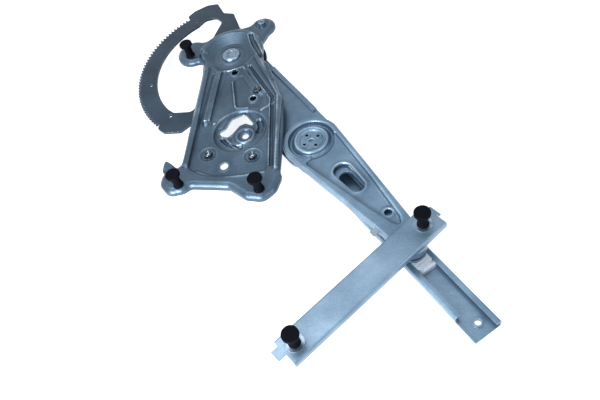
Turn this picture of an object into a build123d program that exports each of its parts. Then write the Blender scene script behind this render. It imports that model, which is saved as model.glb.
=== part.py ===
"""Cross-arm window regulator of a car door, folded for storage, without its motor.

Millimetres. The origin is on the axis of the motor's pinion, at the underside of the base
plate's hub. +Z points away from the arms, to the side of the locating pegs, and +X runs
along the base plate's two lower pegs.
"""

import os
from math import cos, radians, sin, sqrt, tan

from build123d import *

# Gear pair
gear_module = 1.75
sector_full_teeth = 152
sector_teeth = 42
pinion_teeth = 13
pitch_radius = gear_module * sector_full_teeth / 2
centre_distance = gear_module * (sector_full_teeth + pinion_teeth) / 2
pivot_direction = 112.1
tooth_pitch_angle = 360 / sector_full_teeth
first_tooth_angle = 138.4

# Arm lengths and the directions in which arms and guide rail lie
arm_direction = -45.0
pivot_to_cross = 188.0
cross_to_pin = 177.0
guide_direction = 52.8

# Sheets
base_sheet = 2.0
sector_sheet = 3.0
main_sheet = 3.0
guide_sheet = 2.0
lift_sheet = 3.0
rail_sheet = 1.8

# Heights of the stack, from the pegs' side down to the glass side
hub_bottom = 0.0
panel_top = 6.0
rim_height = 9.0
dish_floor = 3.0
sector_top = -10.0
guide_rim_top = -3.5
guide_press = 3.0
guide_wall = 9.0
arm_gap = 3.0
rail_gap = 1.0

# Clearances
running = 0.05
fit = 0.02
face_gap = 0.1
block_play = 0.3
cut_over = 1.0

# Worked-out levels
hub_top = hub_bottom + base_sheet
rim_bottom = panel_top - rim_height
sector_bottom = sector_top - sector_sheet
main_top = sector_bottom
main_bottom = main_top - main_sheet
lift_top = main_bottom - arm_gap
lift_bottom = lift_top - lift_sheet
guide_web_top = guide_rim_top - guide_press
guide_web_bottom = guide_web_top - guide_sheet
guide_bottom = guide_rim_top - guide_wall

# Places and the planes of the arms
pivot = (
    centre_distance * cos(radians(pivot_direction)),
    centre_distance * sin(radians(pivot_direction)),
)


def along(start, direction, distance):
    """The point at a distance from another, in a direction in degrees."""
    return (
        start[0] + distance * cos(radians(direction)),
        start[1] + distance * sin(radians(direction)),
    )


def beyond(point, right, up):
    """A point beside another, by a distance along X and along Y."""
    return (point[0] + right, point[1] + up)


def lying(point, direction, height):
    """A level plane with its origin over a point and its X axis in a direction."""
    heading = (cos(radians(direction)), sin(radians(direction)), 0)
    return Plane(origin=(*point, height), x_dir=heading, z_dir=(0, 0, 1))


def across(point, direction, height):
    """An upright plane square to a direction, with its Y axis up."""
    side = (-sin(radians(direction)), cos(radians(direction)), 0)
    heading = (cos(radians(direction)), sin(radians(direction)), 0)
    return Plane(origin=(*point, height), x_dir=side, z_dir=heading)


def beside(point, direction, height):
    """An upright plane along a direction, with its Y axis up."""
    heading = (cos(radians(direction)), sin(radians(direction)), 0)
    side = (sin(radians(direction)), -cos(radians(direction)), 0)
    return Plane(origin=(*point, height), x_dir=heading, z_dir=side)


cross = along(pivot, arm_direction, pivot_to_cross)
front_pin = along(cross, arm_direction, cross_to_pin)
rear_pin = along(cross, arm_direction, -cross_to_pin)
guide_end = front_pin


def link(length, start_radius, end_radius):
    """Outline of a flat link: two round ends and their outer tangents."""
    lean = (start_radius - end_radius) / length
    rise = sqrt(1 - lean**2)
    Circle(start_radius)
    with Locations((length, 0)):
        Circle(end_radius)
    Polygon(
        (start_radius * lean, start_radius * rise),
        (start_radius * lean, -start_radius * rise),
        (length + end_radius * lean, -end_radius * rise),
        (length + end_radius * lean, end_radius * rise),
        align=None,
    )


def slot_arc(radius, width, start, end):
    """A round-ended slot that follows an arc about the origin."""
    with BuildLine() as middle:
        CenterArc((0, 0), radius, start, end - start)
    trace(middle.line, line_width=width)
    with Locations(along((0, 0), start, radius), along((0, 0), end, radius)):
        Circle(width / 2)


def smooth(inner, outer):
    """Round the sketch's inner and outer corners, as a press tool leaves them."""
    offset(amount=inner)
    offset(amount=-inner - outer)
    offset(amount=outer)


os.makedirs("parts", exist_ok=True)


def save(name, part):
    """Label a finished piece and write it as its own node."""
    part.label = name
    export_step(part, f"parts/{name}.step")


# Base plate: pressed panel with turned-down rim
lower_peg_y = -78.0
peg_left = (-57.3, lower_peg_y)
peg_right = (38.3, lower_peg_y)
peg_upper = (-111.6, 132.3)
nut_places = [(-36.1, -32.2), (17.9, -31.6), (-2.8, 71.3)]
ear_nut_place = (-25.8, 191.9)
nut_radius = 4.8
nut_bore = 2.5
peg_hole = 4.6
pivot_shank = 7.0
top_flange = 52.4
top_flange_angle = 120.0
press_draft = 22.0
panel_round = 3.6
ridge_rise = 2.6
ridge_edge = 1.1
ridge_inset = 1.0
round_dish = (-7.5, 5.0)
round_dish_radius = 33.0
hub_bore = 4.0
hub_collar_outer = 12.0
hub_collar_inner = 8.6
hub_collar_height = 1.5
hub_opening = [
    (-34.4, 4.0),
    (-27.5, 8.5),
    (-24.0, 24.5),
    (-14.0, 31.5),
    (-7.0, 31.5),
    (8.5, 15.5),
    (-5.5, 20.0),
    (-12.0, 16.0),
    (-17.5, 3.0),
    (-22.0, -2.5),
    (-30.0, -1.0),
]
hub_opening_round = 1.6
hub_slot_radius = 18.5
hub_slot_width = 5.0
hub_slot_start = 190.0
hub_slot_end = 268.0
hub_slot_depth = 0.9
nut_pad = 10.0
nut_pad_floor = 3.8
plate_edge = [
    (-99.0, 161.0),
    (-87.0, 110.0),
    (-66.0, -47.0),
    (-72.0, -55.0),
    (-86.0, -57.0),
    (-83.0, -78.0),
    (-66.0, -92.0),
    (-46.0, -78.0),
    (2.0, -77.0),
    (24.0, -89.0),
    (45.0, -90.0),
    (56.0, -76.0),
    (58.5, -57.0),
    (54.5, -50.0),
    (45.0, 7.0),
    (33.0, 59.0),
    (-12.0, 134.0),
    (-19.5, 152.0),
    (-12.0, 182.0),
    (-40.0, 192.0),
    (-56.0, 186.2),
]
plate_lobes = [
    (beyond(peg_upper, 0.6, 8.2), 21.8),
    (beyond(ear_nut_place, 0.8, -1.9), 17.0),
    (beyond(peg_left, -2.0, 6.0), 15.0),
    (beyond(peg_right, 1.0, 6.0), 15.0),
]
foot_horn = [(-62.0, -57.0), (-70.0, -52.5), (-83.8, -45.0), (-86.4, -46.6), (-85.0, -60.0), (-76.0, -68.0)]
horn_round = 1.2
ridge_far = 45.0
ridge_near = 30.0
ridge_start = -5.0
ridge_turn = 185.0
dish_wall_turn = 235.0
left_leg = [(-89.0, 118.0), (-81.6, 101.6), (-62.5, -54.0), (-52.0, -56.0), (-73.5, 101.0)]
right_leg = [(-13.8, 115.4), (25.0, 60.2), (48.0, -52.0), (54.0, -50.0), (34.0, 57.0), (2.7, 115.0)]
dish_foot = 24.0
dish_rim = 38.0
panel_floor = 4.6
panel_edge = [
    (-54.0, -56.0),
    (-36.0, -63.0),
    (-16.0, -66.0),
    (18.0, -60.0),
    (42.0, -53.0),
    (18.0, 55.0),
    (-26.0, 108.0),
    (-70.0, 98.0),
]
bead_edge = [(-57.5, 11.0), (-46.5, 15.0), (-56.5, 106.0), (-67.0, 106.0)]
bead_rise = 1.8
bead_low = 3.2
bead_corner = 4.0
ridge_corner = 3.0
plate_inner_round = 9.0
plate_outer_round = 13.0
gauge_holes = [(-40.3, 101.2), (-4.6, 57.8)]
gauge_hole = 4.2
foot_hole_place = (-11.4, -48.5)
foot_hole = 4.6
field_round = 7.0
field_floor = 4.0
field_edge = [
    (-53.0, 106.0),
    (-42.0, 113.0),
    (-30.0, 108.0),
    (-9.0, 80.0),
    (13.0, 66.0),
    (13.0, 30.0),
    (-28.0, 30.0),
    (-47.0, 18.0),
    (-51.0, 52.0),
]
deep_edge = [(-39.3, 87.0), (-30.0, 99.0), (-11.0, 76.0), (9.0, 62.0), (9.0, 42.0), (-23.5, 42.0)]
deep_round = 4.0
groove_path = [(-23.0, 112.0), (20.5, 58.0), (43.5, -47.0)]
groove_width = 5.0
groove_depth = 2.2
groove_corner = 2.2

with BuildSketch() as plate_outline:
    with BuildLine():
        Polyline(*plate_edge)
        ThreePointArc(plate_edge[-1], along(pivot, top_flange_angle, top_flange), plate_edge[0])
    make_face()
    for centre, radius in plate_lobes:
        with Locations(centre):
            Circle(radius)
    smooth(plate_inner_round, plate_outer_round)

with BuildSketch() as field:
    Polygon(*field_edge, align=None)
    fillet(field.vertices(), field_round)

with BuildSketch() as hub_dish:
    with Locations(round_dish):
        Circle(round_dish_radius)

with BuildSketch() as deep_field:
    Polygon(*deep_edge, align=None)
    fillet(deep_field.vertices(), deep_round)

with BuildSketch() as side_groove:
    with BuildLine():
        Polyline(*groove_path)
    trace(line_width=groove_width)
    fillet(side_groove.vertices(), groove_corner)

with BuildSketch() as panel:
    Polygon(*panel_edge, align=None)
    fillet(panel.vertices(), field_round)

with BuildSketch() as nut_pads:
    with Locations(*nut_places[:2]):
        Circle(nut_pad)

recesses = [
    (panel.sketch, panel_floor),
    (nut_pads.sketch, nut_pad_floor),
    (field.sketch, field_floor),
    (deep_field.sketch, dish_floor),
    (hub_dish.sketch, hub_top),
    (side_groove.sketch, panel_top - groove_depth),
]


def sink(outline, floor, grow, mode):
    """One face of a pressed recess: walls that lean out by the draft up to the panel."""
    rise = panel_top - floor
    with BuildSketch(Plane.XY.offset(floor)) as foot:
        add(outline)
        offset(amount=grow - rise * tan(radians(press_draft)))
    extrude(foot.sketch, amount=rise, taper=-press_draft, mode=mode)


def bead(outline, low, top, inset, mode):
    """One face of a raised bead, between two heights."""
    with BuildSketch(Plane.XY.offset(low)) as foot:
        add(outline)
        offset(amount=-inset)
    extrude(foot.sketch, amount=top - low, mode=mode)


def turned(profile, start, turn, mode):
    """A ring about the main pivot from points of radius and height, over a turn in degrees."""
    with BuildSketch(beside(pivot, start, 0)) as section:
        Polygon(*profile, align=None)
    revolve(section.sketch, axis=Axis((*pivot, 0), (0, 0, 1)), revolution_arc=turn, mode=mode)


with BuildSketch() as ridge:
    with BuildLine():
        far_arc = CenterArc(pivot, ridge_far, ridge_start, ridge_turn)
        near_arc = CenterArc(pivot, ridge_near, ridge_start, ridge_turn)
        Polyline(far_arc @ 1, *left_leg, near_arc @ 1)
        Polyline(near_arc @ 0, *right_leg, far_arc @ 0)
    make_face()
    fillet(ridge.vertices(), ridge_corner)

with BuildSketch() as left_bead:
    Polygon(*bead_edge, align=None)
    fillet(left_bead.vertices(), bead_corner)

beads = [(left_bead.sketch, panel_top + bead_rise), (ridge.sketch, panel_top + ridge_rise)]
ridge_top = panel_top + ridge_rise
dish_slope = (ridge_top - dish_floor) / (dish_rim - dish_foot)
dish_edge = dish_foot + (panel_top - dish_floor) / dish_slope


with BuildPart() as base_plate:
    with BuildSketch(Plane.XY.offset(rim_bottom)):
        add(plate_outline.sketch)
    extrude(amount=rim_height)
    fillet(base_plate.faces().sort_by(Axis.Z)[-1].edges(), panel_round)
    with BuildSketch(Plane.XY.offset(rim_bottom)):
        add(plate_outline.sketch)
        offset(amount=-base_sheet)
    extrude(amount=rim_height - base_sheet, mode=Mode.SUBTRACT)
    for outline, floor in recesses:
        sink(outline, floor - base_sheet, base_sheet, Mode.ADD)
    for outline, floor in recesses:
        sink(outline, floor, 0, Mode.SUBTRACT)
    for outline, top in beads:
        bead(outline, bead_low, top, ridge_inset, Mode.ADD)
        tops = base_plate.faces().filter_by(Axis.Z).group_by(Axis.Z)[-1]
        chamfer(tops.edges(), ridge_edge)
    for outline, top in beads:
        bead(outline, rim_bottom, top - base_sheet, ridge_inset + base_sheet, Mode.SUBTRACT)
    turned(
        [(0, dish_floor - base_sheet), (dish_foot, dish_floor - base_sheet),
         (dish_edge, panel_top - base_sheet), (dish_edge, panel_top), (0, panel_top)],
        0, 360, Mode.ADD,
    )
    turned(
        [(dish_foot, dish_floor - base_sheet), (dish_rim, ridge_top - base_sheet),
         (dish_rim, ridge_top), (dish_foot, ridge_top)],
        ridge_start, dish_wall_turn, Mode.ADD,
    )
    turned(
        [(0, dish_floor), (dish_foot, dish_floor), (dish_rim, ridge_top), (dish_rim, 2 * ridge_top),
         (0, 2 * ridge_top)],
        0, 360, Mode.SUBTRACT,
    )
    with BuildSketch(Plane.XY.offset(rim_bottom)):
        Circle(hub_bore)
        with Locations(*gauge_holes):
            Circle(gauge_hole)
        with Locations(foot_hole_place):
            Circle(foot_hole)
        with Locations(peg_left, peg_right, peg_upper):
            Circle(peg_hole)
        with Locations(*nut_places, ear_nut_place):
            Circle(nut_radius + fit)
        with Locations(pivot):
            Circle(pivot_shank + fit)
    extrude(amount=rim_height * 2, mode=Mode.SUBTRACT)
    with BuildSketch(Plane.XY.offset(hub_top - hub_slot_depth)):
        slot_arc(hub_slot_radius, hub_slot_width, hub_slot_start, hub_slot_end)
    extrude(amount=hub_slot_depth, mode=Mode.SUBTRACT)
    with BuildSketch(Plane.XY.offset(rim_bottom)) as opening:
        Polygon(*hub_opening, align=None)
        fillet(opening.vertices(), hub_opening_round)
    extrude(amount=rim_height * 2, mode=Mode.SUBTRACT)
    with BuildSketch(Plane.XY.offset(hub_top)):
        Circle(hub_collar_outer)
        Circle(hub_collar_inner, mode=Mode.SUBTRACT)
    extrude(amount=hub_collar_height)
    with BuildSketch(Plane.XY.offset(panel_top - base_sheet)) as horn:
        Polygon(*foot_horn, align=None)
        fillet(horn.vertices().sort_by(Axis.X)[0:2], horn_round)
    extrude(amount=base_sheet)

save("base_plate", base_plate.part)

# Main pivot: rivet, spacer bush and washer
pivot_head = 12.0
pivot_head_height = 3.4
pivot_head_edge = 1.4
pivot_dimple = 5.4
pivot_dimple_depth = 0.8
pivot_tail = 11.0
pivot_tail_height = 1.6
washer_height = 1.0
washer_radius = 12.0
bush_radius = 11.0
washer_bottom = main_bottom - face_gap - washer_height
tail_bottom = washer_bottom - pivot_tail_height

with BuildPart() as main_pivot_rivet:
    with BuildSketch(beside(pivot, 0, dish_floor)):
        Polygon(
            (0, 0),
            (pivot_head, 0),
            (pivot_head, pivot_head_height - 1.5 * pivot_head_edge),
            (pivot_head - 0.5 * pivot_head_edge, pivot_head_height - 0.6 * pivot_head_edge),
            (pivot_head - 1.6 * pivot_head_edge, pivot_head_height),
            (0, pivot_head_height),
            align=None,
        )
    revolve(axis=Axis((*pivot, 0), (0, 0, 1)))
    with BuildSketch(lying(pivot, 0, tail_bottom)):
        Circle(pivot_shank)
    extrude(amount=dish_floor - tail_bottom)
    with BuildSketch(lying(pivot, 0, tail_bottom)):
        Circle(pivot_tail)
    extrude(amount=pivot_tail_height)
    with BuildSketch(lying(pivot, 0, dish_floor + pivot_head_height - pivot_dimple_depth)):
        Circle(pivot_dimple)
    extrude(amount=pivot_dimple_depth, mode=Mode.SUBTRACT)
save("main_pivot_rivet", main_pivot_rivet.part)

with BuildPart() as main_pivot_bush:
    with BuildSketch(lying(pivot, 0, sector_top + face_gap)):
        Circle(bush_radius)
        Circle(pivot_shank + fit, mode=Mode.SUBTRACT)
    extrude(amount=dish_floor - base_sheet - sector_top - face_gap)
save("main_pivot_bush", main_pivot_bush.part)

with BuildPart() as main_pivot_washer:
    with BuildSketch(lying(pivot, 0, washer_bottom)):
        Circle(washer_radius)
        Circle(pivot_shank + fit, mode=Mode.SUBTRACT)
    extrude(amount=washer_height)
save("main_pivot_washer", main_pivot_washer.part)

# Locating pegs: a shaft with a wide head, held in the sheet by a foot below it
peg_height = 20.5
peg_shaft = 5.0
peg_head = 8.3
peg_head_height = 3.2
peg_collar = 6.0
peg_foot = 6.6
peg_foot_height = 1.5
peg_collar_height = 1.2
peg_neck_height = 2.6
peg_flare = 2.5
peg_edge = 0.8


def peg(seat, sheet):
    """Half outline of one peg that stands on a sheet."""
    Polygon(
        (0, seat - sheet - peg_foot_height),
        (peg_foot, seat - sheet - peg_foot_height),
        (peg_foot, seat - sheet),
        (peg_hole - fit, seat - sheet),
        (peg_hole - fit, seat),
        (peg_collar, seat),
        (peg_collar, seat + peg_collar_height),
        (peg_shaft, seat + peg_neck_height),
        (peg_shaft, seat + peg_height - peg_head_height - peg_flare),
        (peg_head, seat + peg_height - peg_head_height),
        (peg_head, seat + peg_height - peg_edge),
        (peg_head - peg_edge, seat + peg_height),
        (0, seat + peg_height),
        align=None,
    )


with BuildPart() as base_pegs:
    for place in (peg_left, peg_right, peg_upper):
        with BuildSketch(Plane(origin=(*place, 0), x_dir=(1, 0, 0), z_dir=(0, -1, 0))):
            peg(panel_top, base_sheet)
        revolve(axis=Axis((*place, 0), (0, 0, 1)))
save("base_pegs", base_pegs.part)

# Weld nuts
nut_height = 5.0


def nut(place, floor):
    """Round weld nut with a threaded bore, flush below the sheet."""
    with BuildSketch(lying(place, 0, floor - base_sheet)) as body:
        Circle(nut_radius)
        Circle(nut_bore, mode=Mode.SUBTRACT)
    extrude(body.sketch, amount=nut_height)


with BuildPart() as motor_nuts:
    for place in nut_places:
        nut(place, dish_floor if place == nut_places[2] else nut_pad_floor)
save("motor_nuts", motor_nuts.part)

with BuildPart() as ear_nut:
    nut(ear_nut_place, panel_top)
save("ear_nut", ear_nut.part)

# Toothed sector with its large window
addendum = gear_module
dedendum = gear_module * 1.25
tip_radius = pitch_radius + addendum
root_radius = pitch_radius - dedendum
window_radius = 108.0
window_start = 135.0
window_turn = 96.0
window_round = 8.0
window_inside = [(107.0, 237.0), (93.0, 250.0), (66.0, 243.0), (60.0, 150.0), (70.0, 131.0)]
window_lobe = [(94.0, 116.5), (109.0, 120.0), (113.5, 128.0)]
lobe_radius = 144.0
hub_disc = 44.0
tooth_tip = 0.95
tooth_root = 3.4
tooth_foot = 0.6
band_overrun = 2.0
last_tooth_angle = first_tooth_angle + (sector_teeth - 1) * tooth_pitch_angle
heel = [(137.0, last_tooth_angle + 2.5), (137.0, 244.0), (127.0, 252.5), (90.0, 262.0), (hub_disc, 280.0)]
toe = [(hub_disc, 60.0), (71.0, 99.0), (105.5, 106.0), (113.0, 113.5), (139.0, 116.0)]
lobe = [(lobe_radius, 122.0), (lobe_radius, 130.0), (140.0, 135.5)]
blank_round = 5.0
sector_rivet_circle = 27.0
sector_rivet_places = [along((0, 0), angle, sector_rivet_circle) for angle in (80, 200, 315)]
sector_rivet = 3.0
sector_rivet_head = 5.1
sector_rivet_head_height = 1.6
sector_pilots = [(-83.0, 87.0), (-109.0, -41.0), (-61.0, -95.0)]
sector_pilot = 2.4


def polar(*pairs):
    """Points from pairs of radius and angle about the pivot."""
    return [along((0, 0), angle, radius) for radius, angle in pairs]


def rounded(corner):
    """Whether a corner of the blank is rounded: those outside the hub and off the toothed band."""
    radius = sqrt(corner.X**2 + corner.Y**2)
    return radius > hub_disc + fit and abs(radius - root_radius) > fit


with BuildPart() as sector_gear:
    with BuildSketch(lying(pivot, 0, sector_bottom)) as blank:
        with BuildLine():
            band_turn = last_tooth_angle - first_tooth_angle + 2 * band_overrun
            band = CenterArc((0, 0), root_radius, first_tooth_angle - band_overrun, band_turn)
            Polyline(band @ 1, *polar(*heel), *polar(*toe), *polar(*lobe), band @ 0)
        make_face()
        fillet(blank.vertices().filter_by(rounded), blank_round)
        Circle(hub_disc)
    extrude(amount=sector_sheet)
    with BuildSketch(lying(pivot, 0, sector_bottom)) as window:
        with BuildLine():
            inner = CenterArc((0, 0), window_radius, window_start, window_turn)
            Polyline(inner @ 1, *polar(*window_inside), *polar(*window_lobe), inner @ 0)
        make_face()
        fillet(window.vertices(), window_round)
    extrude(amount=sector_sheet, mode=Mode.SUBTRACT)
    with BuildSketch(lying(pivot, 0, sector_bottom)) as teeth:
        with Locations(
            *[
                Location((*along((0, 0), first_tooth_angle + k * tooth_pitch_angle, root_radius), 0),
                         (0, 0, first_tooth_angle + k * tooth_pitch_angle))
                for k in range(sector_teeth)
            ]
        ):
            Polygon(
                (-tooth_foot, -tooth_root / 2),
                (addendum + dedendum, -tooth_tip / 2),
                (addendum + dedendum, tooth_tip / 2),
                (-tooth_foot, tooth_root / 2),
                align=None,
            )
    extrude(amount=sector_sheet)
    with BuildSketch(lying(pivot, 0, sector_bottom)):
        Circle(pivot_shank + running)
        with Locations(*sector_rivet_places):
            Circle(sector_rivet + fit)
        with Locations(*sector_pilots):
            Circle(sector_pilot)
    extrude(amount=sector_sheet, mode=Mode.SUBTRACT)
save("sector_gear", sector_gear.part)

with BuildPart() as sector_rivets:
    for place in sector_rivet_places:
        spot = (pivot[0] + place[0], pivot[1] + place[1])
        with BuildSketch(lying(spot, 0, main_bottom)):
            Circle(sector_rivet)
        extrude(amount=main_sheet + sector_sheet)
        with BuildSketch(lying(spot, 0, sector_top)):
            Circle(sector_rivet_head)
        extrude(amount=sector_rivet_head_height)
save("sector_rivets", sector_rivets.part)

# Main arm: a pressed strip that steps down at its end
main_root = 36.0
main_middle = 34.0
main_neck = 11.5
main_end = 14.0
main_neck_round = 18.0
corner_round = 1.0
main_length = pivot_to_cross + cross_to_pin
step_inset = 34.0
step_start = main_length - step_inset
step_run = 9.0
cross_core = 15.0
rim_band = 6.0
main_rim = 2.5
main_rim_start = hub_disc + 2
main_rim_length = 100.0
pin_radius = 5.0
pin_shank = 4.0

with BuildPart() as main_arm:
    with BuildSketch(lying(pivot, arm_direction, lift_bottom)):
        link(pivot_to_cross, main_root, main_middle)
        with Locations((pivot_to_cross, 0)):
            Circle(main_middle)
    extrude(amount=main_top - lift_bottom)
    with BuildSketch(lying(cross, arm_direction, lift_bottom)):
        Circle(main_middle)
        link(cross_to_pin, main_neck, main_end)
        smooth(main_neck_round, corner_round)
    extrude(amount=main_top - lift_bottom)
    drop = main_bottom - lift_bottom
    with BuildSketch(beside(pivot, arm_direction, main_bottom)):
        Polygon(
            (-main_root - cut_over, 0),
            (step_start, 0),
            (step_start + step_run, -drop),
            (main_length + main_end + cut_over, -drop),
            (main_length + main_end + cut_over, main_sheet - drop),
            (step_start + step_run, main_sheet - drop),
            (step_start, main_sheet),
            (-main_root - cut_over, main_sheet),
            align=None,
        )
    extrude(amount=main_root + cut_over, both=True, mode=Mode.INTERSECT)
    with BuildSketch(lying(pivot, arm_direction, main_top)):
        link(pivot_to_cross, main_root, main_middle)
        offset(amount=-rim_band, mode=Mode.SUBTRACT)
        with Locations((main_rim_start + main_rim_length / 2, 0)):
            Rectangle(main_rim_length, 3 * main_root, mode=Mode.INTERSECT)
    extrude(amount=main_rim)
    with BuildSketch(lying(pivot, arm_direction, lift_bottom)):
        Circle(pivot_shank + running)
        with Locations((pivot_to_cross, 0)):
            Circle(cross_core + running)
        with Locations((main_length, 0)):
            Circle(pin_shank + fit)
    extrude(amount=main_top - lift_bottom + main_rim, mode=Mode.SUBTRACT)
    with BuildSketch(lying(pivot, 0, main_bottom)):
        with Locations(*sector_rivet_places):
            Circle(sector_rivet + fit)
    extrude(amount=main_sheet, mode=Mode.SUBTRACT)
save("main_arm", main_arm.part)

# Cross arm: guide half above the main arm, lift half below it
guide_hub = 33.5
guide_tip = 15.5
guide_inner_round = 12.0
guide_rim_round = 1.6
groove_outer = 27.0
groove_inner = 20.5
hub_lift = 2.0
hub_recess = 14.5
hub_recess_depth = 1.6
rivet_circle = 9.5
cross_rivet = 3.2
cross_rivet_bore = 2.0
cross_rivet_head = 4.3
lift_hub = 24.0
lift_tip = 14.0
right_side = [(0.0, 33.5), (57.0, 28.0), (108.0, 22.6), (cross_to_pin, 15.5)]
left_side = [(cross_to_pin, -15.0), (97.0, -14.6), (34.0, -21.5), (8.0, -32.8)]
web_edge = [(8.0, 27.0), (88.0, 18.8), (146.0, 10.6), (158.0, 4.5), (146.0, 0.2), (83.0, -9.4), (24.0, -19.0)]
cross_centre_hole = 2.6
guide_hole_place = (134.0, 5.3)
guide_hole = 4.0
slot_start = (59.0, 1.6)
slot_end = (85.5, 2.0)
web_round = 3.0
slot_wide = 10.3
slot_narrow = 8.3
slot_drop = 4.0
hub_bottom_side = guide_web_top + hub_lift - hub_recess_depth - guide_sheet


def guide_outline():
    """Outline of the guide half about the cross pivot."""
    Circle(guide_hub)
    with Locations((cross_to_pin, 0)):
        Circle(guide_tip)
    Polygon(*right_side, *left_side, align=None)
    smooth(guide_inner_round, corner_round)


guide_plane = lying(cross, arm_direction, 0)

with BuildPart() as guide_arm:
    with BuildSketch(guide_plane.offset(guide_bottom)):
        guide_outline()
    extrude(amount=guide_wall)
    fillet(guide_arm.faces().sort_by(Axis.Z)[-1].edges(), guide_rim_round)
    with BuildSketch(guide_plane.offset(guide_bottom)):
        guide_outline()
        offset(amount=-guide_sheet)
    extrude(amount=guide_wall - guide_sheet, mode=Mode.SUBTRACT)
    with BuildSketch(guide_plane.offset(guide_web_bottom)) as web:
        Polygon(*web_edge, align=None)
        fillet(web.vertices(), web_round)
        offset(amount=guide_sheet)
        Circle(groove_outer + guide_sheet)
    extrude(amount=guide_press)
    with BuildSketch(guide_plane.offset(guide_web_top)) as web:
        Polygon(*web_edge, align=None)
        fillet(web.vertices(), web_round)
        Circle(groove_outer)
    extrude(amount=guide_press, mode=Mode.SUBTRACT)
    with BuildSketch(guide_plane.offset(guide_web_bottom)):
        Circle(groove_inner)
    extrude(amount=guide_sheet + hub_lift)
    with BuildSketch(guide_plane.offset(guide_web_bottom)):
        Circle(groove_inner - guide_sheet)
        Circle(hub_recess + guide_sheet, mode=Mode.SUBTRACT)
    extrude(amount=hub_lift, mode=Mode.SUBTRACT)
    with BuildSketch(guide_plane.offset(guide_web_bottom)):
        Circle(hub_recess + guide_sheet)
    extrude(amount=hub_bottom_side - guide_web_bottom, mode=Mode.SUBTRACT)
    with BuildSketch(guide_plane.offset(hub_bottom_side + guide_sheet)):
        Circle(hub_recess)
    extrude(amount=guide_press, mode=Mode.SUBTRACT)
    slot_length = sqrt((slot_end[0] - slot_start[0]) ** 2 + (slot_end[1] - slot_start[1]) ** 2)
    slot_plane = Plane(origin=guide_plane.from_local_coords(Vector(*slot_start, guide_web_top - slot_drop)),
                       x_dir=guide_plane.from_local_coords(Vector(*slot_end, 0))
                       - guide_plane.from_local_coords(Vector(*slot_start, 0)), z_dir=(0, 0, 1))
    with BuildSketch(slot_plane):
        link(slot_length, slot_wide + guide_sheet, slot_narrow + guide_sheet)
    extrude(amount=slot_drop)
    with BuildSketch(slot_plane):
        link(slot_length, slot_wide, slot_narrow)
    extrude(amount=slot_drop + guide_press, mode=Mode.SUBTRACT)
    with BuildSketch(guide_plane.offset(guide_bottom)):
        with PolarLocations(rivet_circle, 4):
            Circle(cross_rivet + fit)
        Circle(cross_centre_hole)
        with Locations(guide_hole_place):
            Circle(guide_hole)
        with Locations((cross_to_pin, 0)):
            Circle(pin_shank + fit)
    extrude(amount=guide_wall, mode=Mode.SUBTRACT)
save("guide_arm", guide_arm.part)

# Moulded clip on the rim of the guide half, with an ear that points outwards
clip_place = 145.0
clip_width = 7.0
clip_wall = 1.2
clip_ear = 8.0
clip_gap = 0.05
clip_share = (clip_place - left_side[1][0]) / (left_side[0][0] - left_side[1][0])
clip_seat = left_side[1][1] + clip_share * (left_side[0][1] - left_side[1][1]) - clip_gap
clip_outside = clip_seat - clip_wall
clip_drop = 1.0
clip_top = guide_rim_top - clip_drop
with BuildPart() as arm_clip:
    with BuildSketch(across(along(cross, arm_direction, clip_place), arm_direction, 0)):
        Polygon(
            (clip_seat, guide_bottom),
            (clip_outside, guide_bottom),
            (clip_outside, clip_top - clip_wall),
            (clip_outside - clip_ear, clip_top - clip_wall),
            (clip_outside - clip_ear, clip_top),
            (clip_seat, clip_top),
            align=None,
        )
    extrude(amount=clip_width / 2, both=True)
save("arm_clip", arm_clip.part)

with BuildPart() as lift_arm:
    with BuildSketch(lying(cross, arm_direction + 180, lift_bottom)):
        link(cross_to_pin, lift_hub, lift_tip)
        with PolarLocations(rivet_circle, 4):
            Circle(cross_rivet + fit, mode=Mode.SUBTRACT)
        with Locations((cross_to_pin, 0)):
            Circle(pin_shank + fit, mode=Mode.SUBTRACT)
    extrude(amount=lift_sheet)
save("lift_arm", lift_arm.part)

flange_radius = 24.0
flange_height = 1.8
cross_washer_radius = 23.0
with BuildPart() as cross_bush:
    with BuildSketch(guide_plane.offset(lift_top)):
        Circle(cross_core)
    extrude(amount=hub_bottom_side - lift_top)
    with BuildSketch(guide_plane.offset(main_top + face_gap)):
        Circle(flange_radius)
    extrude(amount=flange_height)
    with BuildSketch(guide_plane.offset(lift_top)):
        with PolarLocations(rivet_circle, 4):
            Circle(cross_rivet + fit)
    extrude(amount=hub_bottom_side - lift_top, mode=Mode.SUBTRACT)
save("cross_bush", cross_bush.part)

with BuildPart() as cross_washer:
    with BuildSketch(guide_plane.offset(lift_top)):
        Circle(cross_washer_radius)
        Circle(cross_core + fit, mode=Mode.SUBTRACT)
    extrude(amount=arm_gap - face_gap)
save("cross_washer", cross_washer.part)

rivet_head_height = 0.9
with BuildPart() as cross_rivets:
    with BuildSketch(guide_plane.offset(lift_bottom)):
        with PolarLocations(rivet_circle, 4):
            Circle(cross_rivet)
    extrude(amount=hub_bottom_side + guide_sheet - lift_bottom)
    with BuildSketch(guide_plane.offset(hub_bottom_side + guide_sheet)):
        with PolarLocations(rivet_circle, 4):
            Circle(cross_rivet_head)
    extrude(amount=rivet_head_height)
    with BuildSketch(guide_plane.offset(lift_bottom)):
        with PolarLocations(rivet_circle, 4):
            Circle(cross_rivet_bore)
    extrude(amount=hub_bottom_side + guide_sheet + rivet_head_height - lift_bottom, mode=Mode.SUBTRACT)
save("cross_rivets", cross_rivets.part)

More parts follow.
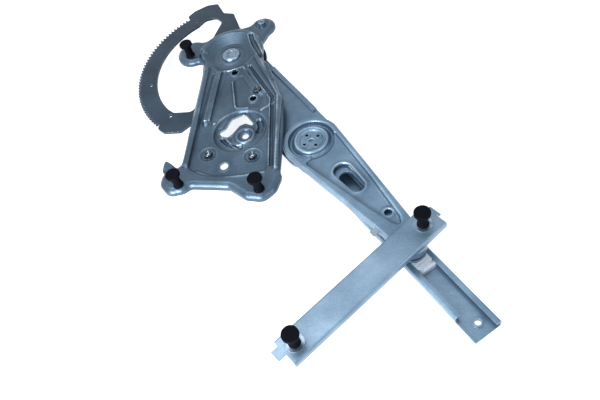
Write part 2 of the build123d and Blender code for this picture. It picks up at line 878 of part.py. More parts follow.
# Rails: rolled channels with inturned lips
rail_width = 31.0
lift_depth = 10.0
lift_lip = 6.0
lift_front = 106.0
lift_rear = 98.0
lip_cut = 26.0
guide_depth = 8.5
guide_lip = 5.0
guide_near = 33.8
guide_far = 161.7
tab_width = 11.5
tab_root = 1.0
tab_side = 3.3
lift_tab = 7.0
near_tab = 3.6
far_tab = 8.6
hook_width = 2.2
hook_length = 2.4
rail_round = 2.2
lift_rail_top = lift_bottom - rail_gap
lift_rail_bottom = lift_rail_top - lift_depth
guide_rail_top = panel_top
guide_rail_bottom = guide_rail_top - guide_depth
rail_hole = 3.3
rail_hole_inset = 13.5
rail_hole_wall = 1.6
rail_hole_collar = 2.5
floor_gap = 1.5


def channel(depth, lip, opens_up):
    """Section of a channel that hangs below or stands above the sketch's origin."""
    turn = 1 if opens_up else -1
    with Locations((0, turn * depth / 2)):
        outer = Rectangle(rail_width, depth)
    fillet(outer.vertices(), rail_round)
    with Locations((0, turn * depth / 2)):
        Rectangle(rail_width - 2 * rail_sheet, depth - 2 * rail_sheet, mode=Mode.SUBTRACT)
    with Locations((0, turn * depth)):
        Rectangle(rail_width - 2 * lip, 2 * (rail_sheet + cut_over), mode=Mode.SUBTRACT)


def tab(end, outward, length, side):
    """Flat tab at the end of a rail, from just inside the end."""
    with Locations((end + outward * (length - tab_root) / 2, side)):
        Rectangle(length + tab_root, tab_width)


guide_rail_plane = lying(guide_end, guide_direction, 0)
lift_rail_plane = lying(front_pin, arm_direction, 0)

with BuildPart() as lift_rail:
    rear_edge = along(rear_pin, arm_direction, -lift_rear)
    lift_length = 2 * cross_to_pin + lift_rear + lift_front
    with BuildSketch(across(rear_edge, arm_direction, lift_rail_bottom)):
        channel(lift_depth, lift_lip, True)
    extrude(amount=lift_length)
    with BuildSketch(lift_rail_plane.offset(lift_rail_bottom + rail_sheet + floor_gap)):
        with Locations((lift_front, -rail_width / 2)):
            Rectangle(2 * lip_cut, 2 * (lift_lip + cut_over))
    extrude(amount=lift_depth, mode=Mode.SUBTRACT)
    with BuildSketch(lift_rail_plane.offset(lift_rail_bottom)):
        tab(-2 * cross_to_pin - lift_rear, -1, lift_tab, 0)
    extrude(amount=rail_sheet)
    with BuildSketch(lift_rail_plane.offset(lift_rail_bottom)):
        with Locations((lift_front - rail_hole_inset, 0)):
            Circle(rail_hole + rail_hole_wall)
    extrude(amount=rail_sheet + rail_hole_collar)
    with BuildSketch(lift_rail_plane.offset(lift_rail_bottom)):
        with Locations((lift_front - rail_hole_inset, 0)):
            Circle(rail_hole)
    extrude(amount=lift_depth, mode=Mode.SUBTRACT)
save("lift_rail", lift_rail.part)

guide_peg_near = 17.5
guide_peg_far = -149.0
collar_height = 1.2
collar_radius = 9.5
guide_peg_seat = guide_rail_top + collar_height
with BuildPart() as guide_rail:
    far_edge = along(guide_end, guide_direction, -guide_far)
    with BuildSketch(across(far_edge, guide_direction, guide_rail_top)):
        channel(guide_depth, guide_lip, False)
    extrude(amount=guide_far + guide_near)
    with BuildSketch(guide_rail_plane.offset(guide_rail_top - rail_sheet)):
        tab(guide_near, 1, near_tab, tab_side)
        tab(-guide_far, -1, far_tab, tab_side)
        with Locations((guide_near + near_tab - hook_length / 2, tab_side - tab_width / 2)):
            Rectangle(hook_length, 2 * hook_width)
    extrude(amount=rail_sheet)
    with BuildSketch(guide_rail_plane.offset(guide_rail_top - rail_sheet)):
        with Locations((guide_peg_near, 0), (guide_peg_far, 0)):
            Circle(peg_foot + fit)
    extrude(amount=rail_sheet, mode=Mode.SUBTRACT)
save("guide_rail", guide_rail.part)

with BuildPart() as guide_collars:
    with BuildSketch(guide_rail_plane.offset(guide_rail_top)):
        with Locations((guide_peg_near, 0), (guide_peg_far, 0)):
            Circle(collar_radius)
            Circle(peg_hole, mode=Mode.SUBTRACT)
    extrude(amount=collar_height)
save("guide_collars", guide_collars.part)

with BuildPart() as guide_pegs:
    for distance in (guide_peg_near, guide_peg_far):
        place = along(guide_end, guide_direction, distance)
        with BuildSketch(Plane(origin=(*place, 0), x_dir=(1, 0, 0), z_dir=(0, -1, 0))):
            peg(guide_peg_seat, collar_height)
        revolve(axis=Axis((*place, 0), (0, 0, 1)))
save("guide_pegs", guide_pegs.part)

# Slide blocks and their pins
block_length = 49.0
groove_places = (13.0, 16.5, 20.0)
block_groove = 1.3
block_groove_depth = 0.9
block_width = rail_width - 2 * rail_sheet - 2 * block_play
lift_block_bottom = lift_rail_bottom + rail_sheet + block_play
lift_block_top = lift_rail_top - rail_sheet - block_play
block_corner = 5.0
neck_inset = 6.0
neck_corner = 4.0
head_radius = 9.0
head_height = 1.6


def slide_block(plane, lower, upper, neck_end, lip):
    """Moulded block that runs inside a channel, with a neck between the lips."""
    with BuildSketch(plane.offset(lower)) as body:
        RectangleRounded(block_length, block_width, block_corner)
    extrude(body.sketch, amount=upper - lower)
    with BuildSketch(plane.offset(min(lower, neck_end))) as neck:
        RectangleRounded(block_length - neck_inset, rail_width - 2 * lip - 2 * block_play, neck_corner)
    extrude(neck.sketch, amount=max(upper, neck_end) - min(lower, neck_end))
    with BuildSketch(plane.offset(min(lower, neck_end))) as hole:
        Circle(pin_radius + running)
    extrude(hole.sketch, amount=lift_depth + cut_over, mode=Mode.SUBTRACT)
    with BuildSketch(plane.offset(neck_end)) as grooves:
        with Locations(*[(sign * x, 0) for sign in (-1, 1) for x in groove_places]):
            Rectangle(block_groove, block_width)
    inward = -block_groove_depth if neck_end > lower else block_groove_depth
    extrude(grooves.sketch, amount=inward, mode=Mode.SUBTRACT)


for name, place in (("front_slide_block", front_pin), ("rear_slide_block", rear_pin)):
    with BuildPart() as block:
        slide_block(
            lying(place, arm_direction, 0),
            lift_block_bottom,
            lift_block_top,
            lift_bottom - face_gap,
            lift_lip,
        )
    save(name, block.part)

guide_block_bottom = guide_rail_bottom + rail_sheet + block_play
guide_block_top = guide_rail_top - rail_sheet - block_play
with BuildPart() as guide_slide_block:
    slide_block(
        guide_rail_plane,
        guide_block_bottom,
        guide_block_top,
        guide_rim_top + face_gap,
        guide_lip,
    )
save("guide_slide_block", guide_slide_block.part)

with BuildPart() as front_lift_pin:
    with BuildSketch(lying(front_pin, 0, lift_bottom)):
        Circle(pin_shank)
    extrude(amount=lift_sheet)
    with BuildSketch(lying(front_pin, 0, lift_top)):
        Circle(head_radius)
    extrude(amount=head_height)
    with BuildSketch(lying(front_pin, 0, lift_block_bottom)):
        Circle(pin_radius)
    extrude(amount=lift_bottom - lift_block_bottom)
save("front_lift_pin", front_lift_pin.part)

with BuildPart() as rear_lift_pin:
    with BuildSketch(lying(rear_pin, 0, lift_bottom)):
        Circle(pin_shank)
    extrude(amount=lift_sheet)
    with BuildSketch(lying(rear_pin, 0, lift_block_bottom)):
        Circle(pin_radius)
    extrude(amount=lift_bottom - lift_block_bottom)
save("rear_lift_pin", rear_lift_pin.part)

with BuildPart() as guide_pin:
    with BuildSketch(lying(guide_end, 0, guide_rim_top - guide_sheet)):
        Circle(pin_shank)
    extrude(amount=guide_sheet)
    with BuildSketch(lying(guide_end, 0, guide_rim_top)):
        Circle(pin_radius)
    extrude(amount=guide_block_top - guide_rim_top)
    with BuildSketch(lying(guide_end, 0, guide_rim_top - guide_sheet - head_height)):
        Circle(head_radius)
    extrude(amount=head_height)
save("guide_pin", guide_pin.part)
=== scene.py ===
import math

import bmesh
import bpy
import numpy as np
from mathutils import Matrix, Vector
from mathutils.bvhtree import BVHTree
from mathutils.kdtree import KDTree


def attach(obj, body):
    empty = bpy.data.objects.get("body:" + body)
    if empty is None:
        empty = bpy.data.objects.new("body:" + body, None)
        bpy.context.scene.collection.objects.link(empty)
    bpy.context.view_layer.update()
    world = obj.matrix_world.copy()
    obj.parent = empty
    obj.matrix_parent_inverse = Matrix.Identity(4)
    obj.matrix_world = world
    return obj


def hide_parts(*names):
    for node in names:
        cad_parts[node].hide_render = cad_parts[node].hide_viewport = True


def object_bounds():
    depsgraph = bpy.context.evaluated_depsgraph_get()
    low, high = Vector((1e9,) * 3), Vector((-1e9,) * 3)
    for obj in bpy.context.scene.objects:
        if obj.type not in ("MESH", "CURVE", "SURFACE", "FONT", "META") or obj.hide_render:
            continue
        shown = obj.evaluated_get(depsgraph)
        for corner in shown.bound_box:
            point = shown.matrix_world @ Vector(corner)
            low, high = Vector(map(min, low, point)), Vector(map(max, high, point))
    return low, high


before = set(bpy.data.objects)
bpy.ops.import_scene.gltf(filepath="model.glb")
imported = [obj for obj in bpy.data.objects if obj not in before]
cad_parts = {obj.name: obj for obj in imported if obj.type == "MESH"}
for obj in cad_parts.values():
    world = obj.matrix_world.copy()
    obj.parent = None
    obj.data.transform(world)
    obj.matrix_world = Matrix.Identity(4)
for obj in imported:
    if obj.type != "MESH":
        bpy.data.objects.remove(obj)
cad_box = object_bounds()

MM = 0.001
UP = Vector((0, 0, 1))

# Studio. Walls and floor look white to the camera and in gloss, and light the part less than that.
FLOOR_WIDTH = 12
FLOOR_GAP = 0.2 * MM
FLOOR_HEIGHT = cad_box[0][2] - FLOOR_GAP
FLOOR_PAPER = "#E6E8EA"
FLOOR_GLOW = 0.8
WALL_FILL = 0.32
WALL_WHITE = 1.0
WHITE = "#FFFFFF"

# Soft lamps: name, place and width in metres, and power in watts.
LAMPS = [
    ("overhead_softbox", (-0.35, 0.05, 1.25), 0.8, 5.5),
    ("front_softbox", (-0.25, -1.0, 0.5), 0.6, 21.0),
    ("right_softbox", (1.0, -0.4, 0.65), 0.5, 2.0),
]

# Camera: the directions of its right and its top, its place in metres, and its lens and sensor in mm.
CAMERA_RIGHT = Vector((0.95838, 0.20022, -0.20352))
CAMERA_TOP = Vector((-0.05093, 0.82132, 0.56818))
CAMERA_PLACE = (0.2618, -0.4229, 0.5033)
CAMERA_LENS = 36.01
CAMERA_SENSOR = 36.0

# Paler edges, worn bright and on the nuts a painted glint: how far the rounded normal and the face agree
# where the paler edge starts and where it is full.
EDGE_TONE_STARTS = 0.995
EDGE_TONE_FULL = 0.86
EDGE_SAMPLES = 6

# Zinc plate, lengths in mm. The shares say how much each pattern adds to the tone, and the stops
# where on it lie the grime with the painted shade of inner corners, the three colours, and the rubbed
# metal with the painted highlight of crests.
ZINC_SPECK = 1.6
ZINC_EDGE = 0.45
CLOUD_SHARE = 0.62
LINE_SHARE = 0.22
SPECK_SHARE = 0.16
TONE_STOPS = (0.1, 0.32, 0.5, 0.68, 0.95)
# Darkest stop of the tone: grime, and on pressings the painted shade in inner corners.
GRIME_AND_SHADE = "#182634"
# The Pointiness of an inner corner and of a crest on the fine mesh.
CREST_LOW = 0.44
CREST_HIGH = 0.56
# How much rougher the plating is where its tone is dark, and how much smoother where it is light.
GLOSS_DOWN = 0.07
GLOSS_UP = 0.06

# Plastics: their IOR, and how deep light goes into them, in mm.
PLASTIC_IOR = 1.48
PLASTIC_DEPTH = 1.5

# Sockets of a Mix node that mixes colours.
FIRST_COLOUR = 6
SECOND_COLOUR = 7
MIXED_COLOUR = 2

# Headings in degrees: rolling lines of the base plate, the arms with the lift rail, and the guide rail.
UPRIGHT = 90.0
ARM_DIRECTION = -45.0
GUIDE_DIRECTION = 52.8


def linear(hex_colour):
    """An sRGB hex colour as the linear values that a shader takes."""
    channels = [int(hex_colour[i:i + 2], 16) / 255 for i in (1, 3, 5)]
    return [c / 12.92 if c <= 0.04045 else ((c + 0.055) / 1.055) ** 2.4 for c in channels] + [1.0]


def add_node(tree, kind, inputs=None, stops=(), **settings):
    """Add one shader node with its settings and colour stops, and set or link its inputs."""
    node = tree.nodes.new(kind)
    for name, value in settings.items():
        setattr(node, name, value)
    for name, value in (inputs or {}).items():
        if isinstance(value, bpy.types.NodeSocket):
            tree.links.new(value, node.inputs[name])
        else:
            node.inputs[name].default_value = value
    if stops:
        elements = node.color_ramp.elements
        while len(elements) < len(stops):
            elements.new(0.5)
        for element, (place, colour) in zip(elements, stops):
            element.position = place
            element.color = linear(colour)
    return node


def new_material(name):
    """An empty node material and its node tree."""
    material = bpy.data.materials.new(name)
    material.use_nodes = True
    material.node_tree.nodes.clear()
    return material, material.node_tree


def finish_material(tree, shader):
    """Send a shader to the surface output."""
    add_node(tree, "ShaderNodeOutputMaterial", {"Surface": shader.outputs[0]})


def edge_view(tree, radius_mm):
    """The normal with edges rounded by a radius, and how far each place lies on such an edge."""
    soft = add_node(tree, "ShaderNodeBevel", {"Radius": radius_mm * MM},
                    samples=EDGE_SAMPLES).outputs["Normal"]
    flat = add_node(tree, "ShaderNodeNewGeometry").outputs["Normal"]
    match = add_node(tree, "ShaderNodeVectorMath", {0: soft, 1: flat}, operation="DOT_PRODUCT")
    edge = add_node(tree, "ShaderNodeMapRange", {
        "Value": match.outputs["Value"],
        "From Min": EDGE_TONE_STARTS, "From Max": EDGE_TONE_FULL, "To Min": 0.0, "To Max": 1.0,
    }).outputs["Result"]
    return soft, edge


def zinc_plate(name, light, mid, dark, metallic=0.75, roughness=0.38, grain=(1.0, 1.0), direction=0.0,
               cloud_mm=45.0, wear_and_highlight="#B9CFE0", relief=0.0):
    """Blue passivated zinc on steel: satin and cloudy, with fine rolling lines and paler edges: worn
    bright, and on the nuts a painted glint.

    Grain is the length and the width of the rolling lines in millimetres, drawn coarser than real
    ones so that they show, and direction is their heading. Cloud_mm is the width of the clouds.
    Relief is how much paler the crests of a finely meshed pressing are painted, as a painted
    highlight, and how much darker its inner corners are painted, as painted shade.
    """
    material, tree = new_material(name)
    place = add_node(tree, "ShaderNodeTexCoord").outputs["Object"]
    turned = add_node(tree, "ShaderNodeMapping", {
        "Vector": place,
        "Rotation": (0, 0, -math.radians(direction)),
        "Scale": (1 / (grain[0] * MM), 1 / (grain[1] * MM), 1 / (grain[1] * MM)),
    }).outputs["Vector"]
    cloud = add_node(tree, "ShaderNodeTexNoise", {
        "Vector": place, "Scale": 1 / (cloud_mm * MM), "Detail": 3.0, "Roughness": 0.55,
    }).outputs["Fac"]
    lines = add_node(tree, "ShaderNodeTexNoise", {
        "Vector": turned, "Scale": 1.0, "Detail": 2.0, "Roughness": 0.5,
    }).outputs["Fac"]
    speckle = add_node(tree, "ShaderNodeTexNoise", {
        "Vector": place, "Scale": 1 / (ZINC_SPECK * MM), "Detail": 1.0, "Roughness": 0.5,
    }).outputs["Fac"]
    tone = add_node(tree, "ShaderNodeMath", {0: cloud, 1: CLOUD_SHARE}, operation="MULTIPLY").outputs[0]
    for pattern, share in ((lines, LINE_SHARE), (speckle, SPECK_SHARE)):
        tone = add_node(tree, "ShaderNodeMath", {0: pattern, 1: share, 2: tone},
                        operation="MULTIPLY_ADD").outputs[0]
    shown = tone
    # On a fine mesh, the crests get a painted highlight and the inner corners painted shade.
    if relief:
        crest = add_node(tree, "ShaderNodeMapRange", {
            "Value": add_node(tree, "ShaderNodeNewGeometry").outputs["Pointiness"],
            "From Min": CREST_LOW, "From Max": CREST_HIGH, "To Min": -relief, "To Max": relief,
        }).outputs["Result"]
        shown = add_node(tree, "ShaderNodeMath", {0: tone, 1: crest}, operation="ADD").outputs[0]
    colour = add_node(tree, "ShaderNodeValToRGB", {"Fac": shown},
                      stops=list(zip(TONE_STOPS, (GRIME_AND_SHADE, dark, mid, light, wear_and_highlight)))).outputs["Color"]
    soft, edge = edge_view(tree, ZINC_EDGE)
    patchy = add_node(tree, "ShaderNodeMapRange", {
        "Value": speckle, "From Min": 0.35, "From Max": 0.6, "To Min": 0.15, "To Max": 0.6,
    }).outputs["Result"]
    # Edges tinted toward the paler colour: wear, and on the nuts a painted near white glint.
    edge_wear_and_glint = add_node(tree, "ShaderNodeMath", {0: edge, 1: patchy}, operation="MULTIPLY").outputs[0]
    colour = add_node(tree, "ShaderNodeMix", {
        0: edge_wear_and_glint, FIRST_COLOUR: colour, SECOND_COLOUR: linear(wear_and_highlight),
    }, data_type="RGBA").outputs[MIXED_COLOUR]
    gloss = add_node(tree, "ShaderNodeMapRange", {
        "Value": tone, "From Min": 0.3, "From Max": 0.7,
        "To Min": roughness + GLOSS_DOWN, "To Max": roughness - GLOSS_UP,
    }).outputs["Result"]
    bump = add_node(tree, "ShaderNodeBump", {
        "Height": tone, "Strength": 0.25, "Distance": 0.12 * MM, "Normal": soft,
    }).outputs["Normal"]
    finish_material(tree, add_node(tree, "ShaderNodeBsdfPrincipled", {
        "Base Color": colour, "Metallic": metallic, "Roughness": gloss, "Normal": bump,
        "Coat Weight": 0.3, "Coat Roughness": 0.2,
    }))
    return material


def moulded_plastic(name, light, dark, roughness, grain_mm, bump_mm, subsurface=0.0, specular=0.5):
    """Injection moulded plastic: an even body colour with a fine spark eroded grain."""
    material, tree = new_material(name)
    place = add_node(tree, "ShaderNodeTexCoord").outputs["Object"]
    grain = add_node(tree, "ShaderNodeTexNoise", {
        "Vector": place, "Scale": 1 / (grain_mm * MM), "Detail": 3.0, "Roughness": 0.6,
    }).outputs["Fac"]
    colour = add_node(tree, "ShaderNodeValToRGB", {"Fac": grain},
                      stops=((0.35, dark), (0.65, light))).outputs["Color"]
    bump = add_node(tree, "ShaderNodeBump", {
        "Height": grain, "Strength": 0.4, "Distance": bump_mm * MM,
    }).outputs["Normal"]
    finish_material(tree, add_node(tree, "ShaderNodeBsdfPrincipled", {
        "Base Color": colour, "Roughness": roughness, "Normal": bump,
        "Subsurface Weight": subsurface, "Subsurface Scale": PLASTIC_DEPTH * MM, "IOR": PLASTIC_IOR,
        "Specular IOR Level": specular,
    }))
    return material


# Drawn steel sheet with passivated zinc: a dark slate blue with upright rolling lines, a painted
# highlight on the crests and painted shade in the inner corners.
base_zinc = zinc_plate("zinc_plated_pressed_panel", "#556C80", "#3D5367", "#2B3F51", grain=(3.0, 0.7),
                       direction=UPRIGHT, relief=0.34)
# The same plating on thick strip: a paler, clearer blue grey with lines along the arm.
arm_zinc = zinc_plate("zinc_plated_pressed_arm", "#7A95AB", "#617C94", "#4D657B", grain=(4.0, 0.7),
                      direction=ARM_DIRECTION)
# The arm's plating on a drawn form, with a painted highlight on its rims and beads and painted shade in
# its inner corners, so its webs look deeper.
drawn_arm_zinc = zinc_plate("zinc_plated_drawn_arm", "#7A95AB", "#617C94", "#4D657B", grain=(4.0, 0.7),
                            direction=ARM_DIRECTION, relief=0.26)
# Fine blanked steel with thin plating: the darkest and dullest metal here, darkened partly as painted
# shade for the shade it lies in under the base plate, with an even fine grain.
sector_zinc = zinc_plate("dull_zinc_fine_blanked_painted_shade", "#34485B", "#273B4C", "#1C2D3D", roughness=0.5,
                         grain=(1.2, 1.2))
# Rolled channel of the guide: pale and clean, with long lines along the rail.
guide_rail_zinc = zinc_plate("zinc_plated_rolled_guide", "#839CB0", "#6C859C", "#566F86", grain=(9.0, 0.5),
                             direction=GUIDE_DIRECTION)
# Rolled channel of the lift: nearly as pale as the guide, with lines along its own length.
lift_rail_zinc = zinc_plate("zinc_plated_rolled_lift", "#819CB2", "#6A869D", "#546D83", grain=(9.0, 0.5),
                            direction=ARM_DIRECTION)
# Turned and headed rivets, pins, collars and washers: the brightest plating, with small clear glints.
bright_zinc = zinc_plate("bright_zinc_turned", "#9CB0C2", "#788DA1", "#53687C", metallic=0.9,
                         roughness=0.3, grain=(0.8, 0.8), cloud_mm=6.0)
# Tapped steel: dark, with a painted near white glint on the edges of the thread and the chamfer.
nut_steel = zinc_plate("dark_thread_steel_painted_glint", "#5C6B78", "#3E4B57", "#232D36", metallic=0.95,
                       roughness=0.26, grain=(0.8, 0.8), cloud_mm=5.0, wear_and_highlight="#DCE6EE")
# Black moulded nylon: deep black, matt, with hardly any glint.
black_nylon = moulded_plastic("black_moulded_nylon", "#0A0D16", "#04060A", roughness=0.6, grain_mm=0.9,
                              bump_mm=0.05, specular=0.05)
# Natural acetal: milky and cool white, smooth, with a soft sheen and a little depth.
natural_acetal = moulded_plastic("natural_moulded_acetal", "#BBC5D0", "#A9B4C1", roughness=0.36,
                                 grain_mm=1.4, bump_mm=0.006, subsurface=0.1)
# The same acetal after handling: greyer and duller.
clip_acetal = moulded_plastic("soiled_moulded_acetal", "#8D9DAC", "#71818F", roughness=0.42,
                              grain_mm=1.0, bump_mm=0.01, subsurface=0.1)

# Nodes that aren't listed are small turned and headed parts, with the bright plating.
node_materials = {
    "base_plate": base_zinc,
    "main_arm": arm_zinc,
    "guide_arm": drawn_arm_zinc,
    "lift_arm": arm_zinc,
    "sector_gear": sector_zinc,
    "lift_rail": lift_rail_zinc,
    "guide_rail": guide_rail_zinc,
    "cross_rivets": arm_zinc,
    "base_pegs": black_nylon,
    "guide_pegs": black_nylon,
    "front_slide_block": natural_acetal,
    "rear_slide_block": natural_acetal,
    "guide_slide_block": natural_acetal,
    "arm_clip": clip_acetal,
}
for node_name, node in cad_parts.items():
    for slot in node.material_slots:
        slot.material = node_materials.get(node_name, bright_zinc)


# Pressed sheet. The rays tell the sheet's upper side from its lower side and its edges.
PRESS_GRID = 0.8 * MM
RAY_START = 0.25 * MM
RAY_REACH = 14 * MM
# Bands in from a free edge, in which softening and deepening set in.
SOFT_BAND = (0.6 * MM, 3.0 * MM)
DEEP_BAND = (1.0 * MM, 5.0 * MM)
# The same bands round a kept place, in mm.
KEPT_SOFT = 2
KEPT_DEEP = 7
PASS_STRENGTH = 0.6
STROKE_EDGE = 1.1
# Free edges this far below the level, in mm, are the rim's lower edge. The shoulder eases off over
# its band in from there. In the foot's band, up from its lowest place, the sheet is hardly drawn down.
SKIRT_DROP = 5
SHOULDER_BAND = 6.5 * MM
FOOT_BAND = 4.5 * MM

# The cross arm's centre, in mm, and two lines of the side that shows at the left, as distances along
# the arm from there and places across it: where the flat web ends, and the outside of the rim.
CROSS = (78.62, 0.83)
WEB_LINE = ((0.0, 24.0, 83.0, 146.0, 158.0), (-23.0, -19.0, -9.4, 0.2, 4.5))
RIM_LINE = ((0.0, 8.0, 34.0, 97.0, 177.0), (-33.5, -32.8, -21.5, -14.6, -15.0))
# How far rim and web grow outwards on that side, at some distances along the arm, in mm.
LEFT_STATIONS = [8, 14, 20, 27, 34, 60, 97, 120, 140, 158]
RIM_GROWTH = [0, 1.7, 4.0, 6.2, 7.9, 7.9, 7.1, 4.6, 1.8, 0]
WEB_GROWTH = [0, 2.0, 4.0, 5.6, 5.6, 5.0, 4.2, 3.0, 1.6, 0]
# From web to rim the growth changes in these shares of the way, and it sets in over these bands.
OUTWARD_BAND = (0.25, 0.9)
WEB_BAND = (-2.6, -0.3)
HUB_BAND = (26.0, 29.0)
LEAST_RIM = 1.0

# The opening in the main arm, in mm from the cross arm's centre: its ends, axis, radius and heights.
SLOT_NEAR = 66.0
SLOT_FAR = 93.0
SLOT_SIDE = 1.0
SLOT_RADIUS = 8.6
SLOT_BOTTOM = -25
SLOT_TOP = -11
RING_STEPS = 40

# Motor nuts, in mm: x, y and foot of each, their outside as radius and height, and the thread.
MOTOR_NUTS = [(-36.1, -32.2, 1.8), (17.9, -31.6, 1.8), (-2.8, 71.3, 1.0)]
NUT_OUTSIDE = [(2.9, 0.0), (4.8, 0.0), (4.8, 4.4), (4.2, 5.0), (3.3, 5.0), (2.9, 4.6)]
THREAD_TOP = 4.6
THREAD_PITCH = 0.9
THREAD_ROOT = 2.9
THREAD_CREST = 2.45
# Shares of a pitch, down from the top of each turn, at which its crest and its foot lie.
CREST_DOWN = 0.45
FOOT_DOWN = 0.9
LATHE_STEPS = 32


def new_object(name, data):
    """A new object in the scene for a mesh, a lamp or a camera."""
    item = bpy.data.objects.new(name, data)
    bpy.context.scene.collection.objects.link(item)
    return item


def shaped_mesh(item):
    """An object's mesh with its modifiers applied."""
    bpy.context.view_layer.update()
    return bpy.data.meshes.new_from_object(item.evaluated_get(bpy.context.evaluated_depsgraph_get()))


def vertex_places(mesh):
    """A mesh's vertices as rows of x, y and z."""
    points = np.empty(len(mesh.vertices) * 3)
    mesh.vertices.foreach_get("co", points)
    return points.reshape(-1, 3)


def move_vertices(mesh, points):
    """Put a mesh's vertices at new places."""
    mesh.vertices.foreach_set("co", points.ravel())
    mesh.update()


def ease(value, start, end):
    """A smooth step from 0 at start to 1 at end."""
    share = np.clip((value - start) / (end - start), 0, 1)
    return share * share * (3 - 2 * share)


def ring(centre, radius):
    """A closed round path."""
    turns = [2 * math.pi * step / RING_STEPS for step in range(RING_STEPS + 1)]
    return [(centre[0] + radius * math.cos(t), centre[1] + radius * math.sin(t)) for t in turns]


def along_arm(distance, side):
    """A place on the cross arm, by its distance from the arm's centre and to the left of its line."""
    heading = math.radians(ARM_DIRECTION)
    return (CROSS[0] + distance * math.cos(heading) - side * math.sin(heading),
            CROSS[1] + distance * math.sin(heading) + side * math.cos(heading))


def away_from(points, path):
    """How far each point is, seen from above, from a path of one or more places in millimetres."""
    plan = points[:, :2] / MM
    if len(path) == 1:
        return np.hypot(*(plan - path[0]).T)
    nearest = np.full(len(plan), np.inf)
    for start, end in zip(np.array(path[:-1]), np.array(path[1:])):
        run = end - start
        share = np.clip(((plan - start) @ run) / (run @ run), 0, 1)
        nearest = np.minimum(nearest, np.hypot(*(plan - start - share[:, None] * run).T))
    return nearest


def nearest_in_plan(points, chosen, wanted):
    """For each wanted vertex, the nearest chosen vertex seen from above, and how far it is."""
    tree = KDTree(len(chosen))
    for number, index in enumerate(chosen):
        tree.insert((points[index][0], points[index][1], 0), number)
    tree.balance()
    found = [tree.find((points[index][0], points[index][1], 0)) for index in wanted]
    return np.array([chosen[f[1]] for f in found]), np.array([f[2] for f in found])


def fine_copy(node_name, piece_name, grid):
    """A copy of a CAD sheet part with an even fine mesh, ready to be shaped."""
    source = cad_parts[node_name]
    rough = new_object(piece_name + "_blank", source.data.copy())
    rough.matrix_world = source.matrix_world
    remesh = rough.modifiers.new("even_mesh", "REMESH")
    remesh.mode = "VOXEL"
    remesh.voxel_size = grid
    mesh = shaped_mesh(rough)
    mesh.transform(rough.matrix_world)
    bpy.data.objects.remove(rough)
    return new_object(piece_name, mesh)


def upper_side(mesh):
    """For each vertex, whether it lies on the sheet's upper side, and whether on a free edge."""
    tree = BVHTree.FromPolygons([v.co for v in mesh.vertices], [p.vertices[:] for p in mesh.polygons])
    upper = np.zeros(len(mesh.vertices), dtype=bool)
    free = np.zeros(len(mesh.vertices), dtype=bool)
    for index, vertex in enumerate(mesh.vertices):
        start = vertex.co + vertex.normal * RAY_START
        if tree.ray_cast(start, UP, RAY_REACH)[0] is None:
            below = tree.ray_cast(start, -UP, RAY_REACH)[0] is not None
            upper[index] = below
            free[index] = not below
    return upper, free


def sheet_freedom(points, top, free, kept):
    """How far each vertex may be softened and deepened, from 0 at free edges and kept places to 1."""
    inside = np.zeros(len(points))
    inside[top] = nearest_in_plan(points, np.flatnonzero(free), top)[1]
    softness = ease(inside, *SOFT_BAND)
    depth = ease(inside, *DEEP_BAND)
    for x, y, radius in kept:
        away = np.hypot(points[:, 0] - x * MM, points[:, 1] - y * MM)
        depth *= ease(away, radius * MM, (radius + KEPT_DEEP) * MM)
        softness *= ease(away, radius * MM, (radius + KEPT_SOFT) * MM)
    return softness, depth


def softened_heights(mesh, points, upper, softness, passes):
    """Heights of the upper side after some passes that draw each vertex towards its neighbours."""
    count = len(points)
    edges = np.empty(len(mesh.edges) * 2, dtype=np.int64)
    mesh.edges.foreach_get("vertices", edges)
    edges = edges.reshape(-1, 2)
    links = edges[upper[edges[:, 0]] & upper[edges[:, 1]]]
    near = np.maximum(np.bincount(links.ravel(), minlength=count), 1)
    height = points[:, 2].copy()
    for _ in range(passes):
        total = np.bincount(links[:, 0], height[links[:, 1]], count)
        total += np.bincount(links[:, 1], height[links[:, 0]], count)
        height += PASS_STRENGTH * softness * upper * (total / near - height)
    return height


def drawn_pressing(node_name, body, material, level, deepen, passes, kept=(), strokes=(), shoulder=0.0):
    """A pressed sheet in place of its CAD node: drawn radii for sharp steps, and a deeper relief.

    Both sides of the sheet move alike, so it keeps its thickness. Places listed as kept, by
    x, y and radius, stay as they are, and so do the heights along free edges. The lower edge of
    the turned-down rim stays too, so that what swings below keeps its room. Each stroke of the
    press is a path, its half width and its height, which is negative for a groove. The relief
    is deepened about the level, and the shoulder is how far the rim's bend is drawn down.
    """
    piece = fine_copy(node_name, "pressed_" + node_name, PRESS_GRID)
    mesh = piece.data
    points = vertex_places(mesh)
    upper, free = upper_side(mesh)
    top = np.flatnonzero(upper)
    softness, depth = sheet_freedom(points, top, free, kept)
    height = softened_heights(mesh, points, upper, softness, passes)
    height += deepen * depth * (height - level * MM)
    for path, half_width, rise in strokes:
        outside = ease(away_from(points, path), half_width - STROKE_EDGE, half_width + STROKE_EDGE)
        height += rise * MM * upper * (1 - outside)
    if shoulder:
        skirt = np.flatnonzero(free & (points[:, 2] < (level - SKIRT_DROP) * MM))
        rim = np.full(len(points), 1.0)
        rim[top] = nearest_in_plan(points, skirt, top)[1]
        height -= shoulder * MM * (1 - ease(rim, 0, SHOULDER_BAND))
    rest = np.flatnonzero(~upper)
    shift = np.where(upper, height - points[:, 2], 0)
    shift[rest] = shift[nearest_in_plan(points, top, rest)[0]]
    foot = ease(points[rest, 2] - points[:, 2].min(), 0, FOOT_BAND)
    shift[rest] = np.where(shift[rest] < 0, shift[rest] * foot, shift[rest])
    points[:, 2] += shift
    mesh.polygons.foreach_set("use_smooth", [True] * len(mesh.polygons))
    mesh.materials.clear()
    mesh.materials.append(material)
    move_vertices(mesh, points)
    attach(piece, body)
    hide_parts(node_name)
    return piece


